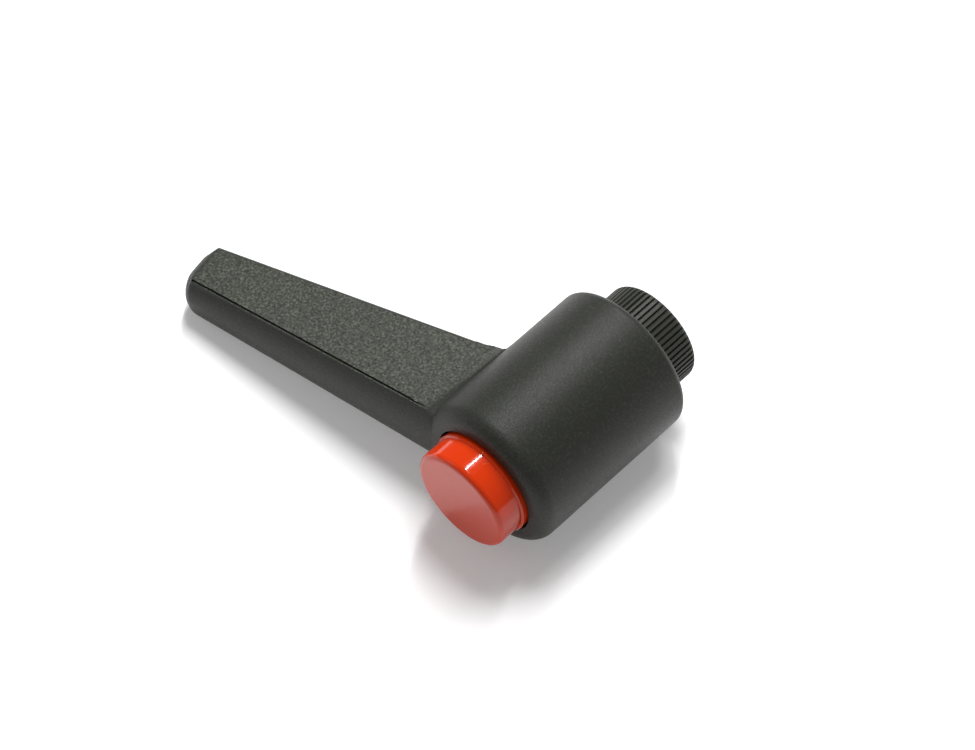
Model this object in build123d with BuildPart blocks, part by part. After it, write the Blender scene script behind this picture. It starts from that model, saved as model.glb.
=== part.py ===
"""Adjustable clamping lever with a push button, lying on its side as it comes to rest.

Millimetres. The clamping axis is the Y axis. The origin is the centre of the stud hole's
mouth, +Y points out of that mouth, and a height h above the mouth, towards the button,
lies at y = -h. The arm points along -X and droops until its tip rests on the surface that
the hub lies on.
"""

import math
import os

from build123d import *

# Driving sizes of the hub
hub_radius = 12.5
hub_height = 31.0
hub_foot_round = 1.3       # rim next to the serrated boss
hub_head_round = 2.6       # rim at the button
web_thickness = 2.5        # wall between the toothed bore and the spring chamber
web_hole_radius = 3.0      # lets the retaining screw through
toothed_length = 4.5       # length of the inner teeth, less than the button's travel

# Driving sizes of the arm
lever_radius = 63.8        # clamping axis to the middle of the tip's end
arm_root_thickness = 11.5  # at the clamping axis
arm_tip_thickness = 7.9
arm_root_width = 17.5      # at the clamping axis, measured along that axis
arm_tip_width = 8.1
arm_root_drop = 2.7        # hub's button end down to the arm's crease, at the clamping axis
arm_rise = 6.1             # how far the crease climbs towards the button, axis to tip
arm_crown = 1.5            # bulge of the smooth side beyond the crease
arm_edge_round = 1.1       # rounding of the edges away from the button
arm_end_tilt = 11.0        # degrees that the tip's end leans back on the button's side
arm_corner_round = 3.2     # rounding of the tip's corners, seen on the flank
arm_end_round = 3.0        # rounding of the tip's end, across its thickness
arm_blend = 3.5            # concave fillets where the arm runs into the hub
blend_edge_step = 0.2      # how much less the edges are rounded along those fillets
crease_width = 0.4         # groove between the grained flanks and the smooth side
crease_depth = 0.35
crease_inset = 0.15        # rib of flank left outside the groove

# Driving sizes of the serrated boss and its threaded bush
tooth_count = 60
tooth_tip_radius = 8.5
tooth_depth = 0.45
groove_mouth_width = 0.5   # width of a groove at the tooth tips
groove_floor_width = 0.22
boss_reach = 7.1           # from the stud hole's mouth to the hub
boss_seated_length = 13.2  # length of boss inside the hub
boss_end_round = 1.1
bush_radius = 6.0
bush_proud = 0.3           # how far the metal bush stands out of the plastic boss
bush_groove_depth = 0.6
bush_groove_width = 2.0
stud_hole_radius = 3.4     # tapping size of the M8 stud thread
stud_hole_depth = 14.0

# Driving sizes of the retaining screw
screw_radius = 2.5
screw_head_radius = 4.6
screw_head_height = 4.5
screw_head_round = 0.5
screw_engagement = 5.4     # screw thread inside the bush
hex_socket_width = 4.0
hex_socket_depth = 2.6

# Driving sizes of the push button
button_radius = 8.6
button_foot_radius = 8.9   # wider lower part that slides in the hub
button_reach = 5.2         # button face above the hub
button_foot_reach = 0.9    # how much of the wider part shows above the hub
button_foot_chamfer = 0.25
button_skirt_depth = 6.0   # skirt below the hub's end
button_wall = 1.5
button_roof = 2.0
button_face_round = 0.9
socket_wall = 0.9          # wall of the inner socket that clips over the screw head
socket_lip = 0.25          # inward lip below the screw head
socket_lip_height = 0.8
socket_slot_width = 1.2
socket_slot_count = 4

# Driving sizes of the return spring
spring_wire_radius = 0.4
spring_turns = 5           # closed turns included
spring_end_turns = 1.0     # closed turns at each end
closed_turn_gap = 0.1

# Clearances
running_gap = 0.05         # radial, between parts that turn or slide in each other
tooth_gap = 0.06           # between meshing tooth flanks
button_gap = 0.3           # radial, between the button and the hub
head_gap = 0.1             # axial, between the screw head and the button's socket
spring_gap = 0.1           # between the spring and the faces it bears on

# Heights above the stud hole's mouth
hub_foot = boss_reach
hub_head = hub_foot + hub_height
boss_end = hub_foot + boss_seated_length
chamber_floor = boss_end + web_thickness
screw_end = boss_end - screw_engagement
button_face = hub_head + button_reach
button_shoulder = hub_head + button_foot_reach
button_foot = hub_head - button_skirt_depth
roof_underside = button_face - button_roof
screw_head_foot = button_foot + socket_lip_height + head_gap
screw_head_top = screw_head_foot + screw_head_height
bush_groove_middle = (bush_proud + boss_end) / 2

# Radii that follow
guide_bore_radius = tooth_tip_radius + running_gap
chamber_radius = button_foot_radius + button_gap
socket_bore_radius = screw_head_radius + running_gap
socket_radius = socket_bore_radius + socket_wall
skirt_bore_radius = button_foot_radius - button_wall
spring_radius = (socket_radius + skirt_bore_radius) / 2

# Flank taper, and the centre of the tip's rounded end seen along the clamping axis:
# X is the distance from the clamping axis, Y the distance from the arm's middle.
flank_slope = (arm_root_thickness - arm_tip_thickness) / 2 / lever_radius
flank_angle = math.atan(flank_slope)
round_centre = Vector(
    lever_radius - arm_end_round,
    arm_root_thickness / 2
    - flank_slope * (lever_radius - arm_end_round)
    - arm_end_round / math.cos(flank_angle),
)

# The arm droops by this angle, so that its rounded tip and the hub touch one flat surface.
# The tip rests on the side where its leaning end reaches furthest.
tilt = math.radians(arm_end_tilt)
rest_centre = round_centre + Vector(math.tan(tilt) * (arm_tip_width / 2 - arm_edge_round), 0)
droop = math.asin((hub_radius - arm_end_round) / rest_centre.length) - math.atan2(
    rest_centre.Y, rest_centre.X
)
outward = Vector(-math.cos(droop), 0, -math.sin(droop))
to_button = Vector(0, -1, 0)
square_to_arm = outward.cross(to_button)

# Sketch planes: arm_side shows the arm's flank, arm_end_on looks along the clamping axis.
hub_foot_centre = to_button * hub_foot
arm_side = Plane(origin=hub_foot_centre, x_dir=outward, z_dir=square_to_arm)
arm_end_on = Plane(origin=hub_foot_centre, x_dir=outward, z_dir=to_button * -1)

# Heights of the arm's edges above the hub's foot, at the clamping axis and at the tip
crease_root = hub_height - arm_root_drop
crease_tip = crease_root + arm_rise
edge_root = crease_root - arm_root_width
edge_tip = crease_tip - arm_tip_width
crease_slope = arm_rise / lever_radius
edge_slope = (edge_tip - edge_root) / lever_radius


def across(h):
    """Plane square to the clamping axis at height h, facing the button."""
    return Plane.XZ.offset(h)


def ring_profile(inner, outer, low, high):
    """Rectangle on Plane.XY between two radii and two heights."""
    with BuildSketch(Plane.XY) as profile:
        with Locations(((inner + outer) / 2, -(low + high) / 2)):
            Rectangle(outer - inner, high - low)
    return profile.sketch


def groove_outline(extra=0.0):
    """Corners of one groove between two teeth, made smaller by extra all round."""
    overrun = 0.5
    slope = (groove_mouth_width - groove_floor_width) / 2 / tooth_depth
    mouth = groove_mouth_width / 2 - extra + slope * overrun
    floor = groove_floor_width / 2 - extra
    return [
        (extra - tooth_depth, -floor),
        (overrun, -mouth),
        (overrun, mouth),
        (extra - tooth_depth, floor),
    ]


def arm_section(distance):
    """The arm's section at a distance from the clamping axis."""
    centre = arm_side.from_local_coords((distance, 0, 0))
    half = arm_root_thickness / 2 - flank_slope * distance
    crease = crease_root + crease_slope * distance
    edge = edge_root + edge_slope * distance
    with BuildSketch(Plane(origin=centre, x_dir=to_button, z_dir=outward)) as section:
        with BuildLine():
            Polyline((crease, half), (edge, half), (edge, -half), (crease, -half))
            ThreePointArc((crease, -half), (crease + arm_crown, 0), (crease, half))
        make_face()
        fillet(section.vertices().sort_by(Axis.X)[:2], radius=arm_edge_round)
    return section.sketch


# ---------------------------------------------------------------- serrated boss
with BuildPart() as serrated_boss:
    with BuildSketch(across(bush_proud)):
        Circle(tooth_tip_radius)
        with PolarLocations(tooth_tip_radius, tooth_count):
            Polygon(*groove_outline(), align=None, mode=Mode.SUBTRACT)
    extrude(amount=boss_end - bush_proud)
    # the rounded rim at the far end
    with BuildSketch(Plane.XY) as envelope:
        add(ring_profile(0, tooth_tip_radius, bush_proud, boss_end))
        fillet(envelope.vertices().group_by(Axis.Y)[-1].sort_by(Axis.X)[-1], radius=boss_end_round)
    revolve(axis=Axis.Y, mode=Mode.INTERSECT)
    # the seat of the bush, with the ring that grips the bush's groove
    with BuildSketch(across(bush_proud)):
        Circle(bush_radius)
    extrude(amount=boss_end - bush_proud, mode=Mode.SUBTRACT)
    add(
        revolve(
            ring_profile(
                bush_radius - bush_groove_depth,
                bush_radius,
                bush_groove_middle - bush_groove_width / 2,
                bush_groove_middle + bush_groove_width / 2,
            ),
            axis=Axis.Y,
            mode=Mode.PRIVATE,
        )
    )
serrated_boss.part.label = "serrated_boss"

# ---------------------------------------------------------------- threaded bush
with BuildPart() as threaded_bush:
    with BuildSketch(Plane.XY):
        add(ring_profile(0, bush_radius, 0, boss_end))
        add(
            ring_profile(
                bush_radius - bush_groove_depth,
                bush_radius + bush_groove_depth,
                bush_groove_middle - bush_groove_width / 2,
                bush_groove_middle + bush_groove_width / 2,
            ),
            mode=Mode.SUBTRACT,
        )
        add(ring_profile(0, stud_hole_radius, -bush_proud, stud_hole_depth), mode=Mode.SUBTRACT)
        add(ring_profile(0, screw_radius, 0, boss_end + bush_proud), mode=Mode.SUBTRACT)
    revolve(axis=Axis.Y)
threaded_bush.part.label = "threaded_bush"

# ---------------------------------------------------------------- retaining screw
with BuildPart() as retaining_screw:
    with BuildSketch(Plane.XY) as screw_profile:
        add(ring_profile(0, screw_radius, screw_end, screw_head_top))
        add(ring_profile(0, screw_head_radius, screw_head_foot, screw_head_top))
        top_corner = screw_profile.vertices().group_by(Axis.Y)[0].sort_by(Axis.X)[-1]
        fillet(top_corner, radius=screw_head_round)
    revolve(axis=Axis.Y)
    with BuildSketch(across(screw_head_top - hex_socket_depth)):
        RegularPolygon(hex_socket_width / 2, 6, major_radius=False)
    extrude(amount=hex_socket_depth, mode=Mode.SUBTRACT)
retaining_screw.part.label = "retaining_screw"

# ---------------------------------------------------------------- push button
with BuildPart() as push_button:
    with BuildSketch(Plane.XY) as button_profile:
        add(ring_profile(0, button_foot_radius, button_foot, button_shoulder))
        add(ring_profile(0, button_radius, button_foot, button_face))
        face_corner = button_profile.vertices().group_by(Axis.Y)[0].sort_by(Axis.X)[-1]
        fillet(face_corner, radius=button_face_round)
        shoulder_corner = button_profile.vertices().group_by(Axis.Y)[2].sort_by(Axis.X)[-1]
        chamfer(shoulder_corner, length=button_foot_chamfer)
        # hollow between the skirt and the socket
        add(
            ring_profile(socket_radius, skirt_bore_radius, button_foot, roof_underside),
            mode=Mode.SUBTRACT,
        )
        # socket for the screw head, with its lip
        add(
            ring_profile(
                0, socket_bore_radius, button_foot + socket_lip_height, screw_head_top + head_gap
            ),
            mode=Mode.SUBTRACT,
        )
        add(
            ring_profile(
                0, screw_head_radius - socket_lip, button_foot, button_foot + socket_lip_height
            ),
            mode=Mode.SUBTRACT,
        )
    revolve(axis=Axis.Y)
    # slots that let the socket spring open over the screw head
    with BuildSketch(across(button_foot)):
        with PolarLocations(socket_radius - socket_wall / 2, socket_slot_count):
            Rectangle(2 * socket_wall, socket_slot_width)
    extrude(amount=screw_head_top - button_foot, mode=Mode.SUBTRACT)
push_button.part.label = "push_button"

# ---------------------------------------------------------------- return spring
spring_foot = chamber_floor + spring_gap + spring_wire_radius
spring_rise = roof_underside - spring_gap - spring_wire_radius - spring_foot
closed_pitch = 2 * spring_wire_radius + closed_turn_gap
closed_rise = spring_end_turns * closed_pitch
open_rise = spring_rise - 2 * closed_rise
open_pitch = open_rise / (spring_turns - 2 * spring_end_turns)
spring_parts = (
    (closed_pitch, closed_rise, spring_foot),
    (open_pitch, open_rise, spring_foot + closed_rise),
    (closed_pitch, closed_rise, spring_foot + closed_rise + open_rise),
)
with BuildPart() as return_spring:
    for pitch, rise, start in spring_parts:
        with BuildLine():
            turns = Helix(pitch, rise, spring_radius, to_button * start, to_button)
        with BuildSketch(Plane(origin=turns @ 0, z_dir=turns % 0)):
            Circle(spring_wire_radius)
        sweep(path=turns, is_frenet=True)
return_spring.part.label = "return_spring"

# ---------------------------------------------------------------- lever
# The tip's rounded end: tangent points of the rounding on the flank and on the end face
off_flank = Vector(math.sin(flank_angle), math.cos(flank_angle))
round_start = round_centre + off_flank * arm_end_round
round_middle = round_centre + Vector(math.sqrt(0.5), math.sqrt(0.5)) * arm_end_round
round_end = round_centre + Vector(arm_end_round, 0)
overhang = hub_radius
past_tip = lever_radius + hub_radius

# Plane across the tip's leaning end, measured from as far back as the clamping axis
tip_middle = (edge_tip + crease_tip) / 2
tip_normal = outward * math.cos(tilt) + to_button * math.sin(tilt)
tip_end_on = Plane(
    origin=arm_side.from_local_coords((lever_radius, tip_middle, 0)) - tip_normal * lever_radius,
    x_dir=tip_normal,
    z_dir=square_to_arm.cross(tip_normal) * -1,
)

# Concave fillet of the flank into the hub: its centre lies on a line beside the flank
flank_offset = arm_root_thickness / 2 + arm_blend / math.cos(flank_angle)
blend_reach = hub_radius + arm_blend
a = 1 + flank_slope**2
b = flank_slope * flank_offset
c = flank_offset**2 - blend_reach**2
blend_u = (b + math.sqrt(b**2 - a * c)) / a
blend_centre = Vector(blend_u, flank_offset - flank_slope * blend_u)
blend_hub_end = blend_centre * (hub_radius / blend_reach)
blend_arm_end = blend_centre - off_flank * arm_blend
blend_middle = blend_centre + (
    ((blend_hub_end - blend_centre) + (blend_arm_end - blend_centre)).normalized() * arm_blend
)

# Concave fillet of the arm's lower edge into the hub, seen on the flank
edge_angle = math.atan(edge_slope)
notch_centre = Vector(
    hub_radius + arm_blend,
    edge_root + edge_slope * (hub_radius + arm_blend) - arm_blend / math.cos(edge_angle),
)
notch_arm_end = notch_centre + Vector(-math.sin(edge_angle), math.cos(edge_angle)) * arm_blend
notch_hub_end = notch_centre - Vector(arm_blend, 0)
notch_middle = notch_centre + (
    ((notch_arm_end - notch_centre) + (notch_hub_end - notch_centre)).normalized() * arm_blend
)

# The blend's outline runs on along the flank until past the lower fillet.
root_end = notch_arm_end.X + arm_edge_round
root_corner = Vector(root_end, arm_root_thickness / 2 - flank_slope * root_end)


def borders_lower_fillet(edge):
    """Whether an edge of the arm's root lies outside the hub and below the arm's lower edge."""
    centre = arm_side.to_local_coords(edge.center())
    return centre.X > hub_radius and centre.Y < edge_root + edge_slope * root_end


with BuildPart() as arm_root:
    # both flanks running into the hub
    with BuildSketch(arm_end_on):
        with BuildLine():
            Polyline((root_end, 0), (0, 0), blend_hub_end)
            ThreePointArc(blend_hub_end, blend_middle, blend_arm_end)
            Polyline(blend_arm_end, root_corner, (root_end, 0))
        make_face()
        mirror(about=Plane.XZ)
    extrude(amount=-hub_height)
    # the lower edge running into the hub, and the crease above
    with BuildSketch(arm_side):
        with BuildLine():
            Polyline(
                notch_hub_end,
                (0, notch_hub_end.Y),
                (0, crease_root),
                (root_end, crease_root + crease_slope * root_end),
                (root_end, edge_root + edge_slope * root_end),
                notch_arm_end,
            )
            ThreePointArc(notch_arm_end, notch_middle, notch_hub_end)
        make_face()
    extrude(amount=overhang, both=True, mode=Mode.INTERSECT)
    # rounded where the lower fillet meets the flanks
    curved_edges = arm_root.edges().filter_by(GeomType.LINE, reverse=True)
    fillet(curved_edges.filter_by(borders_lower_fillet), radius=arm_edge_round - blend_edge_step)

with BuildPart() as lever:
    # tapering arm
    loft(sections=[arm_section(0).face(), arm_section(past_tip).face()], ruled=True)
    # outline of the flank, with the tip's leaning end and rounded corners
    with BuildSketch(arm_side) as outline:
        Polygon(
            (-overhang, edge_root - edge_slope * overhang),
            (past_tip, edge_root + edge_slope * past_tip),
            (past_tip, crease_root + arm_crown + crease_slope * past_tip),
            (-overhang, crease_root + arm_crown - crease_slope * overhang),
            align=None,
        )
        with Locations(Location((lever_radius, tip_middle), arm_end_tilt)):
            Rectangle(
                lever_radius,
                lever_radius,
                align=(Align.MIN, Align.CENTER),
                mode=Mode.SUBTRACT,
            )
        fillet(outline.vertices().sort_by(Axis.X)[-2:], radius=arm_corner_round)
    extrude(amount=overhang, both=True, mode=Mode.INTERSECT)
    # the tip's end, rounded across its thickness
    with BuildSketch(tip_end_on):
        with BuildLine():
            Polyline((-overhang, 0), (-overhang, overhang), (round_start.X, overhang), round_start)
            ThreePointArc(round_start, round_middle, round_end)
            Line(round_end, (lever_radius, 0))
            mirror(about=Plane.XZ)
        make_face()
    extrude(amount=2 * hub_height, both=True, mode=Mode.INTERSECT)
    # creases along both flanks
    for side in (1, -1):
        crease_plane = Plane(
            origin=arm_side.from_local_coords((0, crease_root, side * arm_root_thickness / 2)),
            x_dir=outward + to_button * crease_slope - square_to_arm * side * flank_slope,
            z_dir=square_to_arm * side + outward * flank_slope,
        )
        crease_length = lever_radius - arm_corner_round
        with BuildSketch(crease_plane):
            with Locations((crease_length / 2, -side * (crease_inset + crease_width / 2))):
                Rectangle(crease_length, crease_width)
        extrude(amount=crease_depth, both=True, mode=Mode.SUBTRACT)
    # hub
    with BuildSketch(Plane.XY) as hub_profile:
        add(ring_profile(0, hub_radius, hub_foot, hub_head))
        outer_corners = hub_profile.vertices().group_by(Axis.X)[-1].sort_by(Axis.Y)
        fillet(outer_corners[-1], radius=hub_foot_round)
        fillet(hub_profile.vertices().group_by(Axis.Y)[0].sort_by(Axis.X)[-1], radius=hub_head_round)
    revolve(axis=Axis.Y)
    add(arm_root.part)
    # guide bore, web hole and spring chamber
    with BuildSketch(Plane.XY):
        add(ring_profile(0, guide_bore_radius, hub_foot, boss_end - toothed_length))
        add(ring_profile(0, web_hole_radius, hub_foot, hub_head))
        add(ring_profile(0, chamber_radius, chamber_floor, hub_head))
    revolve(axis=Axis.Y, mode=Mode.SUBTRACT)
    # toothed bore
    with BuildSketch(across(boss_end - toothed_length)):
        Circle(guide_bore_radius)
        with PolarLocations(tooth_tip_radius, tooth_count):
            Polygon(*groove_outline(tooth_gap), align=None, mode=Mode.SUBTRACT)
    extrude(amount=toothed_length, mode=Mode.SUBTRACT)
lever.part.label = "lever"

os.makedirs("parts", exist_ok=True)
for piece in (lever, push_button, return_spring, retaining_screw, serrated_boss, threaded_bush):
    export_step(piece.part, f"parts/{piece.part.label}.step")
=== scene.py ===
"""Looks of the adjustable clamping lever: finishes for every CAD node, the cut thread of the
bush, the coiled return spring, and a pale studio stage. Lengths are in metres."""

import math

import bmesh
import bpy
from bpy.props import FloatProperty, FloatVectorProperty, IntProperty, PointerProperty
from mathutils import Matrix, Vector


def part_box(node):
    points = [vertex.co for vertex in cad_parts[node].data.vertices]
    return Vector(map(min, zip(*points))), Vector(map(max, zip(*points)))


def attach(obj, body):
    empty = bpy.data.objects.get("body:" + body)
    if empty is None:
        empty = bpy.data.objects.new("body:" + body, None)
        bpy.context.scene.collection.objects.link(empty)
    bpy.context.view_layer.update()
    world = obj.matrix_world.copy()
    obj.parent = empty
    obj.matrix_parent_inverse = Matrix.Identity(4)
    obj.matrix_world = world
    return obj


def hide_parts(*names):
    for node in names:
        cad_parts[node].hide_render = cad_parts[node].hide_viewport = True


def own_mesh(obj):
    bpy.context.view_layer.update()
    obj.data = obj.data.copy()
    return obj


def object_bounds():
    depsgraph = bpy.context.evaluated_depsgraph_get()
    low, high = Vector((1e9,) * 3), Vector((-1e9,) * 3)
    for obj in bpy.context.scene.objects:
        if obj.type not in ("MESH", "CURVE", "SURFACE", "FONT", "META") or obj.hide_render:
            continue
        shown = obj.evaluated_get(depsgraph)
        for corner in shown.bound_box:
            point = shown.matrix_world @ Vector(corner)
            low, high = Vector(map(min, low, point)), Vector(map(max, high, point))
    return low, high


bl_info = {
    "name": "Adjustable Clamping Lever",
    "version": (1, 0, 0),
    "blender": (4, 5, 0),
    "location": "View3D > Sidebar > Clamping Lever",
    "description": "Finishes and details of an adjustable clamping lever with a push button",
    "category": "Object",
}

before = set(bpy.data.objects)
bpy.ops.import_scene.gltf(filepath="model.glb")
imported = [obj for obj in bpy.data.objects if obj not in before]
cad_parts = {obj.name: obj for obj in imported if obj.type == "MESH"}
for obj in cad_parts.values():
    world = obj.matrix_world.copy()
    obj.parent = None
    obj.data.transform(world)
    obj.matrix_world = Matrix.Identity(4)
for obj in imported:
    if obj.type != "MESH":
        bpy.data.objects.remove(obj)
cad_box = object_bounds()

MM = 0.001

lever_low, lever_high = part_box("lever")
bush_low, bush_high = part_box("threaded_bush")
spring_low, spring_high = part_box("return_spring")
HUB_RADIUS = lever_high.x
FLOOR_HEIGHT = lever_low.z


def widest_flank(side):
    """Outward normal of the arm's flat flank, the upper one for side 1, the lower for -1."""
    flat = [
        face
        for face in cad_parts["lever"].data.polygons
        if face.center.x < -2 * HUB_RADIUS
        and face.normal.z * side > 0.9
        and abs(face.normal.y) < 0.001
    ]
    return max(flat, key=lambda face: face.area).normal


# The arm's own directions: square to its middle plane, along it, and towards the button
ARM_UP = (widest_flank(1) - widest_flank(-1)).normalized()
ARM_OUT = Vector((-ARM_UP.z, 0.0, ARM_UP.x))
TO_BUTTON = Vector((0.0, -1.0, 0.0))

# The arm's taper and crease, as the model has them
ARM_ROOT_HALF = 5.75 * MM      # half the arm's thickness at the clamping axis
ARM_HALF_SLOPE = 1.8 / 63.8
ARM_CROWN = 1.5 * MM
CREASE_ROOT = 35.4 * MM        # height of the crease at the clamping axis
CREASE_SLOPE = 6.1 / 63.8
EDGE_ROOT = 17.9 * MM          # height of the arm's lower edge at the clamping axis
EDGE_SLOPE = 15.5 / 63.8
CREASE_INSETS = (0.15 * MM, 0.35 * MM, 0.55 * MM)
TIP_TILT = math.radians(11.0)
TIP_NORMAL = ARM_OUT * math.cos(TIP_TILT) + TO_BUTTON * math.sin(TIP_TILT)

# How the lever's mesh is cut before its points are moved
WELD = 0.0005 * MM             # points nearer than this are one
CREASE_OVERLAP = 4.5 * MM      # how far the new crease runs over the model's own
CREASE_BLEND = 1.5 * MM        # over which the new crease reaches its depth
CREASE_REACH = 12 * MM         # faces farther from the crease are left whole
ON_LINE = 0.002 * MM           # how near its line a point of the crease lies
ON_FLANK = 0.05 * MM           # how near the flank
ROOT_START = 0.5 * HUB_RADIUS  # how far out the fillet is looked for
ROOT_CLEARANCE = 0.005 * MM    # how far below the edge a point of the fillet lies
LAYERS = range(-6, 7)          # cuts on both sides of the arm's middle plane
TIP_STEPS = 12                 # cuts along the tip's rounding
TIP_SLICES = 8                 # cuts over each of its corners

# Power of the tip's outline: squarer where the rounding begins than at its end
TIP_END_POWER = 2.6
TIP_START_POWER = 30.0
TIP_POWER_FADE = 0.7

# Where the flanks' coarse grain sets in: how squarely a face looks along ARM_UP, and at what X
FLANK_FACING = (0.96, 0.995)
GRAIN_START = (-HUB_RADIUS + 1.0 * MM, -HUB_RADIUS - 2.0 * MM)

# Sockets of a Mix node: the two colours and their mixture, and the two plain numbers
FIRST_COLOUR, SECOND_COLOUR, MIXED_COLOUR = 6, 7, 2
FIRST_NUMBER, SECOND_NUMBER = 2, 3

# Name, place, width and height in metres, and power in watts of each lamp
LAMPS = (
    ("overhead_softbox", (-0.15, 0.35, 0.85), (0.42, 0.42), 5.6),
    ("side_softbox", (-0.45, -0.35, 0.30), (0.30, 0.30), 0.2),
    ("tube_lamp", (-0.20, 0.25, 0.60), (0.02, 0.50), 3.4),
)
WORLD_LIGHT = 0.22
FLOOR_REACH = 1.5              # half the floor's width


# ------------------------------------------------------------------ settings
class LeverFinishSettings(bpy.types.PropertyGroup):
    colour: FloatVectorProperty(
        name="Plastic colour",
        description="Colour of the glass-filled plastic of the lever",
        default=(0.0225, 0.024, 0.0195),
        subtype="COLOR",
        min=0.0,
        max=1.0,
    )
    tip_round_length: FloatProperty(
        name="Tip rounding length",
        description="How far from the tip's end its full rounding begins",
        default=3.2 * MM,
        unit="LENGTH",
        precision=5,
    )
    tip_round_height: FloatProperty(
        name="Tip rounding height",
        description="How far inside the crease and the lower edge the tip's rounding begins",
        default=3.0 * MM,
        unit="LENGTH",
        precision=5,
    )
    root_fillet: FloatProperty(
        name="Root fillet",
        description="Radius of the fillet between the arm's lower edge and the hub",
        default=1.3 * MM,
        unit="LENGTH",
        precision=5,
    )
    crease_start: FloatProperty(
        name="Crease start",
        description="Distance of the crease's inner end from the clamping axis",
        default=13.3 * MM,
        unit="LENGTH",
        precision=5,
    )
    crease_depth: FloatProperty(
        name="Crease depth",
        description="Depth of the crease where it runs into the hub",
        default=0.35 * MM,
        unit="LENGTH",
        precision=5,
    )
    grain_size: FloatProperty(
        name="Grain size",
        description="Width of one pit of the coarse grain on the arm's flanks",
        default=0.40 * MM,
        unit="LENGTH",
        precision=5,
    )
    hub_grain_size: FloatProperty(
        name="Hub grain size",
        description="Width of one pit of the fine grain on the hub",
        default=0.22 * MM,
        unit="LENGTH",
        precision=5,
    )
    grain_depth: FloatProperty(
        name="Grain depth",
        description="Depth of the coarse grain",
        default=0.06 * MM,
        unit="LENGTH",
        precision=5,
    )


class ButtonSettings(bpy.types.PropertyGroup):
    colour: FloatVectorProperty(
        name="Button colour",
        description="Colour of the push button",
        default=(0.62, 0.034, 0.0005),
        subtype="COLOR",
        min=0.0,
        max=1.0,
    )


class BossSettings(bpy.types.PropertyGroup):
    colour: FloatVectorProperty(
        name="Boss colour",
        description="Colour of the serrated boss",
        default=(0.034, 0.036, 0.029),
        subtype="COLOR",
        min=0.0,
        max=1.0,
    )


class BushSettings(bpy.types.PropertyGroup):
    thread_pitch: FloatProperty(
        name="Thread pitch",
        description="Pitch of the M8 stud thread",
        default=1.25 * MM,
        unit="LENGTH",
        precision=5,
    )
    thread_tip_radius: FloatProperty(
        name="Thread crest radius",
        description="Radius to the crests of the stud thread",
        default=3.4 * MM,
        unit="LENGTH",
        precision=5,
    )
    thread_root_radius: FloatProperty(
        name="Thread root radius",
        description="Radius to the roots of the stud thread",
        default=3.95 * MM,
        unit="LENGTH",
        precision=5,
    )
    thread_depth: FloatProperty(
        name="Thread length",
        description="How deep the stud thread goes",
        default=13.0 * MM,
        unit="LENGTH",
        precision=5,
    )


class SpringSettings(bpy.types.PropertyGroup):
    turns: IntProperty(
        name="Turns",
        description="Number of turns of the return spring, closed ends included",
        default=5,
        min=3,
    )
    wire_radius: FloatProperty(
        name="Wire radius",
        description="Radius of the spring's wire",
        default=0.4 * MM,
        unit="LENGTH",
        precision=5,
    )
    lift: FloatProperty(
        name="Lift",
        description="How far the lifted lever shortens the spring",
        default=5.0 * MM,
        unit="LENGTH",
        precision=5,
    )


class StageSettings(bpy.types.PropertyGroup):
    camera_azimuth: FloatProperty(
        name="Azimuth",
        description="Camera's turn about the vertical, from looking along +Y",
        default=math.radians(44.57),
        subtype="ANGLE",
    )
    camera_elevation: FloatProperty(
        name="Elevation",
        description="Camera's height above the horizon",
        default=math.radians(55.9),
        subtype="ANGLE",
    )
    camera_roll: FloatProperty(
        name="Roll",
        description="Camera's turn about its own axis",
        default=math.radians(-0.82),
        subtype="ANGLE",
    )
    camera_distance: FloatProperty(
        name="Distance",
        description="Camera's distance from the aim point",
        default=0.5522,
        unit="LENGTH",
    )
    camera_lens: FloatProperty(
        name="Focal length",
        description="Focal length on a 36 mm sensor, in millimetres",
        default=134.7,
    )
    camera_aim: FloatVectorProperty(
        name="Aim point",
        description="Point that the camera looks at",
        default=(-13.37 * MM, -23.38 * MM, -1.5 * MM),
        subtype="TRANSLATION",
        precision=5,
    )
    floor_colour: FloatVectorProperty(
        name="Floor colour",
        description="Colour of the plain floor",
        default=(0.86, 0.86, 0.87),
        subtype="COLOR",
        min=0.0,
        max=1.0,
    )


# ------------------------------------------------------------------ node helpers
def fresh_material(name):
    """A material with a Principled shader; returns the material, its tree and the shader."""
    material = bpy.data.materials.new(name)
    material.use_nodes = True
    shader = material.node_tree.nodes["Principled BSDF"]
    return material, material.node_tree, shader


def add_node(tree, kind, values=(), **settings):
    """Adds a node, sets its options and its sockets' values, and returns it."""
    node = tree.nodes.new(kind)
    for key, value in settings.items():
        setattr(node, key, value)
    for socket, value in dict(values).items():
        node.inputs[socket].default_value = value
    return node


def link(tree, source, output, target, socket):
    tree.links.new(source.outputs[output], target.inputs[socket])


def object_space(tree):
    return add_node(tree, "ShaderNodeTexCoord")


def noise(tree, source, width, detail, roughness, output="Object"):
    """Noise whose spots are about as wide as the given width."""
    node = add_node(
        tree,
        "ShaderNodeTexNoise",
        {"Scale": 1.0 / width, "Detail": detail, "Roughness": roughness},
    )
    link(tree, source, output, node, "Vector")
    return node


def maths(tree, operation, *sources):
    """A maths node fed by numbers and by pairs of a node and its output."""
    node = add_node(tree, "ShaderNodeMath", operation=operation)
    for socket, source in enumerate(sources):
        if isinstance(source, tuple):
            link(tree, *source, node, socket)
        else:
            node.inputs[socket].default_value = source
    return node


def ramp(tree, source, output, low, high, to_low=0.0, to_high=1.0):
    """Maps a value from low..high to to_low..to_high, clamped."""
    node = add_node(
        tree,
        "ShaderNodeMapRange",
        {"From Min": low, "From Max": high, "To Min": to_low, "To Max": to_high},
    )
    link(tree, source, output, node, "Value")
    return node


def spot_share(tree, grain, share, low, high):
    """How much of a spot shows: where the grain runs from low to high, times a share."""
    spot = ramp(tree, grain, 0, low, high)
    return maths(tree, "MULTIPLY", (spot, 0), (share, 0))


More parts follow.
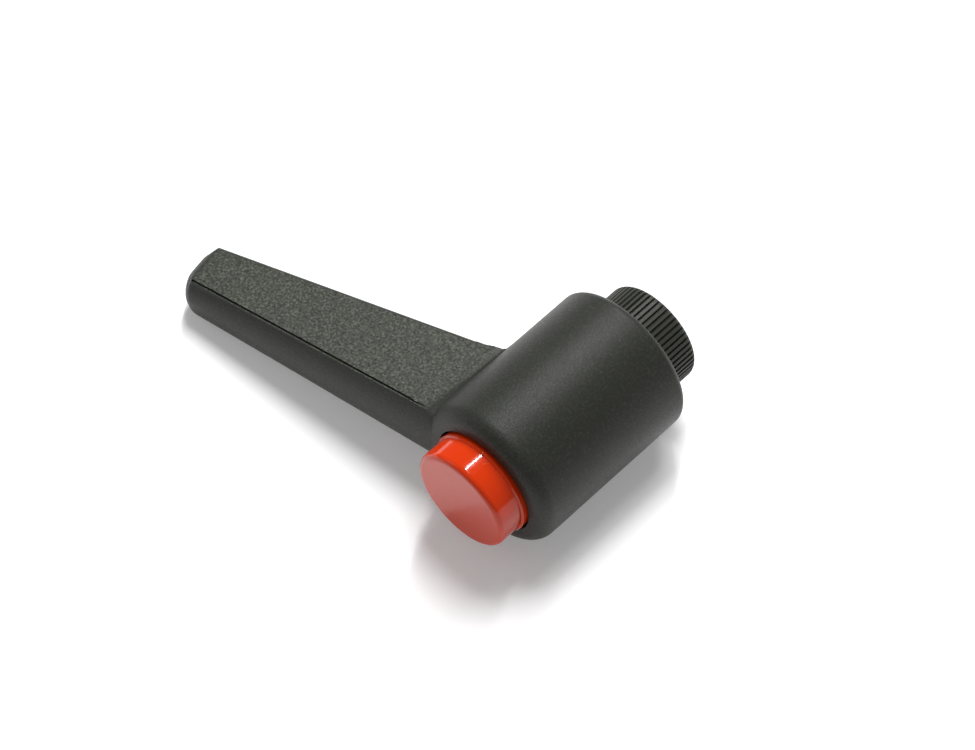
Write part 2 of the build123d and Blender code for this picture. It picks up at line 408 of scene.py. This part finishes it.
def bump(tree, height, shader, strength, depth):
    node = add_node(tree, "ShaderNodeBump", {"Strength": strength, "Distance": depth})
    link(tree, height, 0, node, "Height")
    link(tree, node, "Normal", shader, "Normal")


def tint(colour, factor):
    return (*(channel * factor for channel in colour), 1.0)


def shaded(tree, clouds, colour, darkest, palest):
    """The colour, varied by a noise between two shares of it."""
    node = add_node(tree, "ShaderNodeMix", data_type="RGBA")
    link(tree, clouds, 0, node, "Factor")
    node.inputs[FIRST_COLOUR].default_value = tint(colour, darkest)
    node.inputs[SECOND_COLOUR].default_value = tint(colour, palest)
    return node


def dress(node_name, material):
    """Puts one material on a CAD node."""
    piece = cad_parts[node_name]
    for place in piece.material_slots:
        place.material = material


# ------------------------------------------------------------------ materials
def grained_plastic(settings):
    """Glass-filled plastic: coarse sparkling grain on the arm's flanks, finer on the hub, with
    painted shade in the grain's pits and painted glints on its peaks.
    """
    material, tree, shader = fresh_material("grained_plastic")
    place = object_space(tree)
    # 1 on the two flat flanks of the arm, 0 elsewhere
    facing = add_node(tree, "ShaderNodeVectorMath", {1: ARM_UP}, operation="DOT_PRODUCT")
    link(tree, place, "Normal", facing, 0)
    either_side = maths(tree, "ABSOLUTE", (facing, "Value"))
    flat = ramp(tree, either_side, 0, *FLANK_FACING)
    split = add_node(tree, "ShaderNodeSeparateXYZ")
    link(tree, place, "Object", split, 0)
    beyond_hub = ramp(tree, split, "X", *GRAIN_START)
    flank = maths(tree, "MULTIPLY", (flat, 0), (beyond_hub, 0))

    coarse = noise(tree, place, settings.grain_size, detail=3.0, roughness=0.6)
    fine = noise(tree, place, settings.hub_grain_size, detail=2.0, roughness=0.6)
    cloud = noise(tree, place, 9.0 * MM, detail=2.0, roughness=0.5)

    grain = add_node(tree, "ShaderNodeMix", data_type="FLOAT")
    link(tree, flank, 0, grain, 0)
    fine_share = maths(tree, "MULTIPLY", (fine, 0), 0.9)
    link(tree, fine_share, 0, grain, FIRST_NUMBER)
    link(tree, coarse, 0, grain, SECOND_NUMBER)

    # painted shade in the coarse grain's pits and painted glints of glass fibre on its peaks,
    # strong on the flanks and faint on the hub
    speckled = shaded(tree, cloud, settings.colour, darkest=0.88, palest=1.10)
    paler = maths(tree, "MULTIPLY", (flank, 0), 0.75)
    share = ramp(tree, flank, 0, low=0.0, high=1.0, to_low=0.16)
    # painted shade: a darker colour where the coarse grain is low
    painted_pit_shade = spot_share(tree, coarse, share, low=0.47, high=0.30)
    # painted highlight: a much paler colour where the coarse grain is high
    painted_glints = spot_share(tree, coarse, share, low=0.50, high=0.74)
    # each layer with its colour, as a share of the plastic's own
    for amount, factor in ((paler, 2.4), (painted_pit_shade, 0.7), (painted_glints, 5.8)):
        layer = add_node(tree, "ShaderNodeMix", data_type="RGBA")
        link(tree, amount, 0, layer, "Factor")
        link(tree, speckled, MIXED_COLOUR, layer, FIRST_COLOUR)
        layer.inputs[SECOND_COLOUR].default_value = tint(settings.colour, factor)
        speckled = layer
    link(tree, speckled, MIXED_COLOUR, shader, "Base Color")

    gloss = ramp(tree, fine, 0, low=0.3, high=0.7, to_low=0.54, to_high=0.36)
    link(tree, gloss, 0, shader, "Roughness")
    shader.inputs["Specular IOR Level"].default_value = 0.27
    bump(tree, grain, shader, strength=1.0, depth=settings.grain_depth)
    return material


def boss_plastic(settings):
    """The boss's plastic: moulded smooth, with faint specks."""
    material, tree, shader = fresh_material("boss_plastic")
    place = object_space(tree)
    speck = noise(tree, place, 0.25 * MM, detail=2.0, roughness=0.6)
    base = shaded(tree, speck, settings.colour, darkest=0.8, palest=1.25)
    link(tree, base, MIXED_COLOUR, shader, "Base Color")
    shader.inputs["Roughness"].default_value = 0.5
    shader.inputs["Specular IOR Level"].default_value = 0.36
    bump(tree, speck, shader, strength=0.4, depth=0.02 * MM)
    return material


def button_plastic(settings):
    """Glossy red-orange plastic with very slight unevenness and fine wear."""
    material, tree, shader = fresh_material("button_plastic")
    place = object_space(tree)
    cloud = noise(tree, place, 5.0 * MM, detail=2.0, roughness=0.5)
    base = shaded(tree, cloud, settings.colour, darkest=0.93, palest=1.05)
    link(tree, base, MIXED_COLOUR, shader, "Base Color")
    smear = noise(tree, place, 1.6 * MM, detail=4.0, roughness=0.6)
    gloss = ramp(tree, smear, 0, low=0.3, high=0.75, to_low=0.06, to_high=0.13)
    link(tree, gloss, 0, shader, "Roughness")
    shader.inputs["Specular IOR Level"].default_value = 0.38
    shader.inputs["Subsurface Weight"].default_value = 0.06
    shader.inputs["Subsurface Radius"].default_value = (1.0, 0.25, 0.08)
    shader.inputs["Subsurface Scale"].default_value = 1.2 * MM
    ripple = noise(tree, place, 3.0 * MM, detail=1.0, roughness=0.4)
    bump(tree, ripple, shader, strength=0.35, depth=0.03 * MM)
    return material


def turned_steel(name, colour, ring_width, roughness):
    """Machined steel with fine turning rings about the clamping axis."""
    material, tree, shader = fresh_material(name)
    place = object_space(tree)
    stretch = add_node(tree, "ShaderNodeMapping")
    link(tree, place, "Object", stretch, "Vector")
    stretch.inputs["Scale"].default_value = (0.04, 1.0, 0.04)
    rings = noise(tree, stretch, ring_width, detail=2.0, roughness=0.6, output="Vector")
    stain = noise(tree, place, 2.5 * MM, detail=3.0, roughness=0.6)
    base = shaded(tree, stain, colour, darkest=0.82, palest=1.1)
    link(tree, base, MIXED_COLOUR, shader, "Base Color")
    shader.inputs["Metallic"].default_value = 1.0
    roughest = roughness + 0.14
    gloss = ramp(tree, rings, 0, low=0.3, high=0.7, to_low=roughness, to_high=roughest)
    link(tree, gloss, 0, shader, "Roughness")
    bump(tree, rings, shader, strength=0.3, depth=0.01 * MM)
    return material


def floor_material(colour):
    """Plain pale floor that shows white to the camera and in gloss, and keeps the shadow."""
    material, tree, shader = fresh_material("pale_floor")
    shader.inputs["Base Color"].default_value = (*colour, 1.0)
    shader.inputs["Roughness"].default_value = 0.9
    shader.inputs["Specular IOR Level"].default_value = 0.1
    rays = add_node(tree, "ShaderNodeLightPath")
    seen = maths(tree, "MAXIMUM", (rays, "Is Camera Ray"), (rays, "Is Glossy Ray"))
    through = maths(tree, "MAXIMUM", (seen, 0), (rays, "Is Transmission Ray"))
    lift = maths(tree, "MULTIPLY", (through, 0), 0.22)
    shader.inputs["Emission Color"].default_value = (1.0, 1.0, 1.0, 1.0)
    link(tree, lift, 0, shader, "Emission Strength")
    return material


# ------------------------------------------------------------------ mesh helpers
def mesh_object(name, build, sharp_angle=35.0):
    """A new object whose mesh is made by build(bm), smooth but for edges beyond an angle."""
    mesh = bpy.data.meshes.new(name)
    bm = bmesh.new()
    build(bm)
    bmesh.ops.recalc_face_normals(bm, faces=bm.faces)
    bm.to_mesh(mesh)
    bm.free()
    if "custom_normal" in mesh.attributes:
        mesh.attributes.remove(mesh.attributes["custom_normal"])
    mesh.shade_smooth()
    mesh.set_sharp_from_angle(angle=math.radians(sharp_angle))
    piece = bpy.data.objects.new(name, mesh)
    bpy.context.scene.collection.objects.link(piece)
    return piece


def stand_in(piece, node_name, body, material):
    """Lets a new piece stand for one CAD node."""
    piece.data.materials.clear()
    piece.data.materials.append(material)
    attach(piece, body)
    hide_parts(node_name)


def loft_rings(bm, rings, closed):
    """Joins rings of points, all of one length, with quads; open lofts get end caps."""
    loops = [[bm.verts.new(point) for point in ring] for ring in rings]
    pairs = list(zip(loops, loops[1:]))
    if closed:
        pairs.append((loops[-1], loops[0]))
    else:
        bm.faces.new(loops[0])
        bm.faces.new(loops[-1])
    count = len(loops[0])
    for first, second in pairs:
        for i in range(count):
            j = (i + 1) % count
            bm.faces.new((first[i], first[j], second[j], second[i]))


def arm_place(point):
    """A point's distance along the arm, height above the mouth, and place across the arm."""
    return point.dot(ARM_OUT), point.dot(TO_BUTTON), point.dot(ARM_UP)


def arm_half(distance):
    return ARM_ROOT_HALF - ARM_HALF_SLOPE * distance


def crease_height(distance):
    return CREASE_ROOT + CREASE_SLOPE * distance


def edge_height(distance):
    return EDGE_ROOT + EDGE_SLOPE * distance


def cut(bm, faces, point, normal):
    """Divides faces along a plane, so that their parts can be moved."""
    edges = {edge for face in faces for edge in face.edges}
    verts = {vert for face in faces for vert in face.verts}
    bmesh.ops.bisect_plane(
        bm, geom=[*verts, *edges, *faces], plane_co=point, plane_no=normal, dist=WELD
    )


def extend_crease(bm, settings):
    """Carries the crease of each flank on towards the hub as a shallow V."""
    along = (ARM_OUT + TO_BUTTON * CREASE_SLOPE).normalized()
    square = along.cross(ARM_UP)
    start, reach = settings.crease_start, settings.crease_start + CREASE_OVERLAP

    def near(face):
        distance, height, _ = arm_place(face.calc_center_median())
        places = [arm_place(vert.co)[0] for vert in face.verts]
        beside = min(places) < reach and max(places) > start
        level_with = abs(height - crease_height(distance)) < CREASE_REACH
        return beside and distance > 0 and level_with

    for inset in CREASE_INSETS:
        foot = TO_BUTTON * (CREASE_ROOT - inset)
        cut(bm, [face for face in bm.faces if near(face)], foot, square)
    for distance in (start, start + CREASE_BLEND):
        cut(bm, [face for face in bm.faces if near(face)], ARM_OUT * distance, ARM_OUT)
    middle = TO_BUTTON * (CREASE_ROOT - CREASE_INSETS[1])
    for vert in bm.verts:
        distance, _, side = arm_place(vert.co)
        on_line = abs((vert.co - middle).dot(square)) < ON_LINE
        on_flank = abs(side) > arm_half(distance) - ON_FLANK
        if on_line and on_flank and start < distance < reach:
            share = min(1.0, (distance - start) / CREASE_BLEND)
            vert.co -= ARM_UP * math.copysign(settings.crease_depth * share, side)


def trim_root(bm, settings):
    """Draws the fillet between the arm's lower edge and the hub in to a small radius."""
    fillet = settings.root_fillet

    def below(point):
        distance, level, _ = arm_place(point)
        return edge_height(distance) - level

    def near(face):
        distance = arm_place(face.calc_center_median())[0]
        spread = max(math.hypot(vert.co.x, vert.co.z) for vert in face.verts)
        depth = max(below(vert.co) for vert in face.verts)
        outside = distance > ROOT_START and spread > HUB_RADIUS * 1.001
        return outside and depth > ROOT_CLEARANCE

    for i in LAYERS:
        cut(bm, [face for face in bm.faces if near(face)], ARM_UP * (i * MM), ARM_UP)
    for vert in bm.verts:
        depth = below(vert.co)
        spread = math.hypot(vert.co.x, vert.co.z)
        if depth > ROOT_CLEARANCE and arm_place(vert.co)[0] > ROOT_START:
            rest = max(0.0, fillet - depth)
            limit = HUB_RADIUS + fillet - math.sqrt(fillet**2 - rest**2)
            if spread > limit:
                vert.co.x *= limit / spread
                vert.co.z *= limit / spread


def round_tip(bm, settings):
    """Rounds the arm's tip fully across its thickness, and over both its corners."""
    length, height = settings.tip_round_length, settings.tip_round_height
    reach = max(vert.co.dot(TIP_NORMAL) for vert in bm.verts)
    edge = reach - length

    def tip_faces():
        return [
            face for face in bm.faces if face.calc_center_median().dot(TIP_NORMAL) > edge
        ]

    reaching = [f for f in bm.faces if any(v.co.dot(TIP_NORMAL) > edge for v in f.verts)]
    cut(bm, reaching, TIP_NORMAL * edge, TIP_NORMAL)
    for i in range(1, TIP_STEPS):
        turn = math.radians(90.0 * i / TIP_STEPS)
        cut(bm, tip_faces(), TIP_NORMAL * (edge + length * math.sin(turn)), TIP_NORMAL)
    for i in LAYERS:
        cut(bm, tip_faces(), ARM_UP * (ARM_ROOT_HALF * i / 10), ARM_UP)
    end = arm_place(TIP_NORMAL * reach)[0]
    for i in range(TIP_SLICES + 1):
        level = crease_height(end) + ARM_CROWN - (height + ARM_CROWN) * i / TIP_SLICES
        cut(bm, tip_faces(), TO_BUTTON * level, TO_BUTTON)
        level = edge_height(end) + height * i / TIP_SLICES
        cut(bm, tip_faces(), TO_BUTTON * level, TO_BUTTON)
    bmesh.ops.triangulate(bm, faces=tip_faces())

    for vert in {vert for face in tip_faces() for vert in face.verts}:
        distance, level, side = arm_place(vert.co)
        past = (vert.co.dot(TIP_NORMAL) - edge) / length
        half = arm_half(distance)
        across = min(1.0, abs(side) / half)
        rise = height + ARM_CROWN * (1.0 - across**2)
        up = (level - crease_height(distance) + height) / rise
        down = (edge_height(distance) + height - level) / height
        if up < down:
            up, rise = down, -height
        up = min(1.0, max(0.0, up))
        squareness = (1.0 - min(1.0, max(0.0, past) / TIP_POWER_FADE)) ** 3
        power = TIP_END_POWER + TIP_START_POWER * squareness
        girth = (across**power + up**power) ** (1.0 / power)
        size = math.hypot(past, girth)
        if past > 0.0 and size > 1.0:
            shrink = 1.0 - 1.0 / size
            vert.co -= TIP_NORMAL * (past * length * shrink)
            vert.co -= ARM_UP * (side * shrink)
            vert.co -= TO_BUTTON * (up * rise * shrink)


# ------------------------------------------------------------------ operators
class LEVER_OT_finish_lever(bpy.types.Operator):
    """Makes the lever with its rounded tip, whole crease and grained plastic"""

    bl_idname = "clamping_lever.finish_lever"
    bl_label = "Finish the lever"

    def execute(self, context):
        settings = context.scene.clamping_lever_finish

        def build(bm):
            bm.from_mesh(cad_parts["lever"].data)
            bmesh.ops.remove_doubles(bm, verts=bm.verts, dist=WELD)
            trim_root(bm, settings)
            extend_crease(bm, settings)
            round_tip(bm, settings)

        lever = mesh_object("moulded_lever", build)
        stand_in(lever, "lever", "lever", grained_plastic(settings))
        return {"FINISHED"}


class LEVER_OT_finish_boss(bpy.types.Operator):
    """Gives the serrated boss its plastic"""

    bl_idname = "clamping_lever.finish_boss"
    bl_label = "Finish the serrated boss"

    def execute(self, context):
        plastic = boss_plastic(context.scene.clamping_lever_boss)
        dress("serrated_boss", plastic)
        return {"FINISHED"}


class LEVER_OT_finish_button(bpy.types.Operator):
    """Gives the push button its glossy plastic"""

    bl_idname = "clamping_lever.finish_button"
    bl_label = "Finish the push button"

    def execute(self, context):
        plastic = button_plastic(context.scene.clamping_lever_button)
        dress("push_button", plastic)
        return {"FINISHED"}


class LEVER_OT_finish_screw(bpy.types.Operator):
    """Gives the hidden retaining screw its plated steel"""

    bl_idname = "clamping_lever.finish_screw"
    bl_label = "Finish the retaining screw"

    def execute(self, context):
        steel = turned_steel("plated_steel", (0.42, 0.42, 0.40), 0.12 * MM, 0.28)
        dress("retaining_screw", steel)
        return {"FINISHED"}


class LEVER_OT_make_bush(bpy.types.Operator):
    """Makes the turned steel bush with its cut stud thread"""

    bl_idname = "clamping_lever.make_bush"
    bl_label = "Make the threaded bush"

    def execute(self, context):
        settings = context.scene.clamping_lever_bush
        crest, root = settings.thread_tip_radius, settings.thread_root_radius
        pitch, depth = settings.thread_pitch, settings.thread_depth
        outer, foot = bush_high.x, -bush_low.y
        rim, screw_hole, drilled = 0.25 * MM, 2.5 * MM, 14.0 * MM
        groove_floor, groove_low, groove_high = 5.4 * MM, 9.25 * MM, 11.25 * MM
        points, thread_steps, mouth_chamfer = 72, 8, 0.2 * MM

        def ring(radius, level):
            """A ring of points; the radius is a number, or a function of the turn."""
            places = []
            for i in range(points):
                spread = radius(i / points) if callable(radius) else radius
                angle = math.tau * i / points
                places.append((spread * math.cos(angle), -level, spread * math.sin(angle)))
            return places

        def thread_radius(level, turn):
            phase = (level / pitch + turn) % 1.0
            # a wave that is flat for a tenth of the pitch at the crest and at the root
            ridge = min(1.0, max(0.0, 1.25 * abs(2.0 * phase - 1.0) - 0.125))
            fade = min(1.0, max(0.0, (depth - level) / pitch))
            return max(crest + (root - crest) * ridge * fade, root + mouth_chamfer - level)

        def build(bm):
            steps = round(depth / pitch * thread_steps)
            levels = [depth * i / steps for i in range(steps + 1)]
            rings = [ring(lambda turn: thread_radius(level, turn), level) for level in levels]
            inside = [(crest, drilled), (screw_hole, drilled), (screw_hole, foot)]
            groove = [(outer, groove_high), (groove_floor, groove_high)]
            groove += [(groove_floor, groove_low), (outer, groove_low)]
            profile = [*inside, (outer, foot), *groove, (outer, rim), (outer - rim, 0.0)]
            rings += [ring(radius, level) for radius, level in profile]
            loft_rings(bm, rings, closed=True)

        steel = turned_steel("turned_steel", (0.56, 0.55, 0.52), 0.10 * MM, 0.24)
        bush = mesh_object("turned_bush", build)
        stand_in(bush, "threaded_bush", "core", steel)
        return {"FINISHED"}


class LEVER_OT_make_spring(bpy.types.Operator):
    """Winds the return spring, with closed and ground ends"""

    bl_idname = "clamping_lever.make_spring"
    bl_label = "Wind the return spring"

    def execute(self, context):
        settings = context.scene.clamping_lever_spring
        wire, turns = settings.wire_radius, settings.turns
        radius = spring_high.x - wire
        foot, head = -spring_high.y, -spring_low.y
        closed, grind, steps, wire_points = 1.0, 0.25 * wire, 40, 10
        slow, blend = 0.22, 0.4

        def pace(turn):
            """How fast the wire climbs: slowly over the closed turns at each end."""
            inner = min(turn, turns - turn) - closed
            share = min(1.0, max(0.0, inner / blend + 0.5))
            return slow + (1.0 - slow) * share * share * (3.0 - 2.0 * share)

        climbs = [pace((i + 0.5) / steps) for i in range(turns * steps)]
        rise = head - foot - 2.0 * (wire - grind)

        def build(bm):
            rings, level = [], foot + wire - grind
            for i in range(turns * steps + 1):
                angle = math.tau * i / steps
                across = Vector((math.cos(angle), 0.0, math.sin(angle)))
                ring = []
                for k in range(wire_points):
                    turn = math.tau * k / wire_points
                    height = level + wire * math.sin(turn)
                    height = min(head, max(foot, height))
                    ring.append(across * (radius + wire * math.cos(turn)) + TO_BUTTON * height)
                rings.append(ring)
                if i < len(climbs):
                    level += rise * climbs[i] / sum(climbs)
            loft_rings(bm, rings, closed=False)

        spring = mesh_object("wound_spring", build, sharp_angle=50.0)
        steel = turned_steel("spring_wire", (0.50, 0.50, 0.50), 0.2 * MM, 0.22)
        stand_in(spring, "return_spring", "spring_pack", steel)
        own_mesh(spring)
        return {"FINISHED"}


class LEVER_OT_make_stage(bpy.types.Operator):
    """Makes the floor, the studio lights, the world and the camera"""

    bl_idname = "clamping_lever.make_stage"
    bl_label = "Make the stage"

    def execute(self, context):
        settings = context.scene.clamping_lever_stage
        make_floor(settings)
        make_lights()
        make_camera(context.scene, settings)
        context.scene.view_settings.view_transform = "Standard"
        return {"FINISHED"}


def make_floor(settings):
    def build(bm):
        place = Matrix.Translation((0, 0, FLOOR_HEIGHT))
        bmesh.ops.create_grid(bm, x_segments=1, y_segments=1, size=FLOOR_REACH, matrix=place)

    floor = mesh_object("floor", build)
    floor.data.materials.append(floor_material(settings.floor_colour))


def area_light(name, place, aim, size, power):
    data = bpy.data.lights.new(name, "AREA")
    data.shape = "RECTANGLE"
    data.size, data.size_y = size
    data.energy = power
    lamp = bpy.data.objects.new(name, data)
    lamp.location = place
    direction = Vector(aim) - Vector(place)
    lamp.rotation_euler = direction.to_track_quat("-Z", "Y").to_euler()
    bpy.context.scene.collection.objects.link(lamp)
    return lamp


def make_lights():
    middle = (cad_box[0][0] * 0.3, -20 * MM, 0.0)
    lamps = [area_light(name, place, middle, size, power) for name, place, size, power in LAMPS]
    lamps[0].visible_glossy = False
    world = bpy.data.worlds.new("studio")
    world.use_nodes = True
    background = world.node_tree.nodes["Background"]
    background.inputs["Color"].default_value = (1.0, 1.0, 1.0, 1.0)
    background.inputs["Strength"].default_value = WORLD_LIGHT
    bpy.context.scene.world = world


def make_camera(scene, settings):
    turn, lift, roll = settings.camera_azimuth, settings.camera_elevation, settings.camera_roll
    back = Vector(
        (math.sin(turn) * math.cos(lift), -math.cos(turn) * math.cos(lift), math.sin(lift))
    )
    level = Vector((math.cos(turn), math.sin(turn), 0.0))
    upright = back.cross(level)
    right = level * math.cos(roll) + upright * math.sin(roll)
    up = upright * math.cos(roll) - level * math.sin(roll)
    place = Vector(settings.camera_aim) + back * settings.camera_distance
    data = bpy.data.cameras.new("camera")
    data.sensor_fit = "HORIZONTAL"
    data.sensor_width = 36.0
    data.lens = settings.camera_lens
    data.clip_start = 0.01
    camera = bpy.data.objects.new("camera", data)
    turned = Matrix((right, up, back)).transposed().to_4x4()
    camera.matrix_world = Matrix.Translation(place) @ turned
    scene.collection.objects.link(camera)
    scene.camera = camera


class LEVER_PT_panel(bpy.types.Panel):
    """Lists the lever's pieces and their settings"""

    bl_label = "Clamping Lever"
    bl_idname = "LEVER_PT_panel"
    bl_space_type = "VIEW_3D"
    bl_region_type = "UI"
    bl_category = "Clamping Lever"

    def draw(self, context):
        for group, operators in SECTIONS:
            column = self.layout.column(align=True)
            settings = getattr(context.scene, group)
            for name in settings.__annotations__:
                column.prop(settings, name)
            for operator in operators:
                column.operator(operator.bl_idname)


SETTINGS = {
    "clamping_lever_stage": StageSettings,
    "clamping_lever_finish": LeverFinishSettings,
    "clamping_lever_button": ButtonSettings,
    "clamping_lever_boss": BossSettings,
    "clamping_lever_bush": BushSettings,
    "clamping_lever_spring": SpringSettings,
}
SECTIONS = (
    ("clamping_lever_stage", (LEVER_OT_make_stage,)),
    ("clamping_lever_finish", (LEVER_OT_finish_lever,)),
    ("clamping_lever_button", (LEVER_OT_finish_button, LEVER_OT_finish_screw)),
    ("clamping_lever_boss", (LEVER_OT_finish_boss,)),
    ("clamping_lever_bush", (LEVER_OT_make_bush,)),
    ("clamping_lever_spring", (LEVER_OT_make_spring,)),
)
OPERATORS = [operator for _, operators in SECTIONS for operator in operators]


def register():
    for group in SETTINGS.values():
        bpy.utils.register_class(group)
    for name, group in SETTINGS.items():
        setattr(bpy.types.Scene, name, PointerProperty(type=group))
    for operator in OPERATORS:
        bpy.utils.register_class(operator)
    bpy.utils.register_class(LEVER_PT_panel)


def unregister():
    bpy.utils.unregister_class(LEVER_PT_panel)
    for operator in reversed(OPERATORS):
        bpy.utils.unregister_class(operator)
    for name in SETTINGS:
        delattr(bpy.types.Scene, name)
    for group in reversed(list(SETTINGS.values())):
        bpy.utils.unregister_class(group)


def main():
    register()
    for operator in OPERATORS:
        group, action = operator.bl_idname.split(".")
        getattr(getattr(bpy.ops, group), action)()


if __name__ == "__main__":
    main()
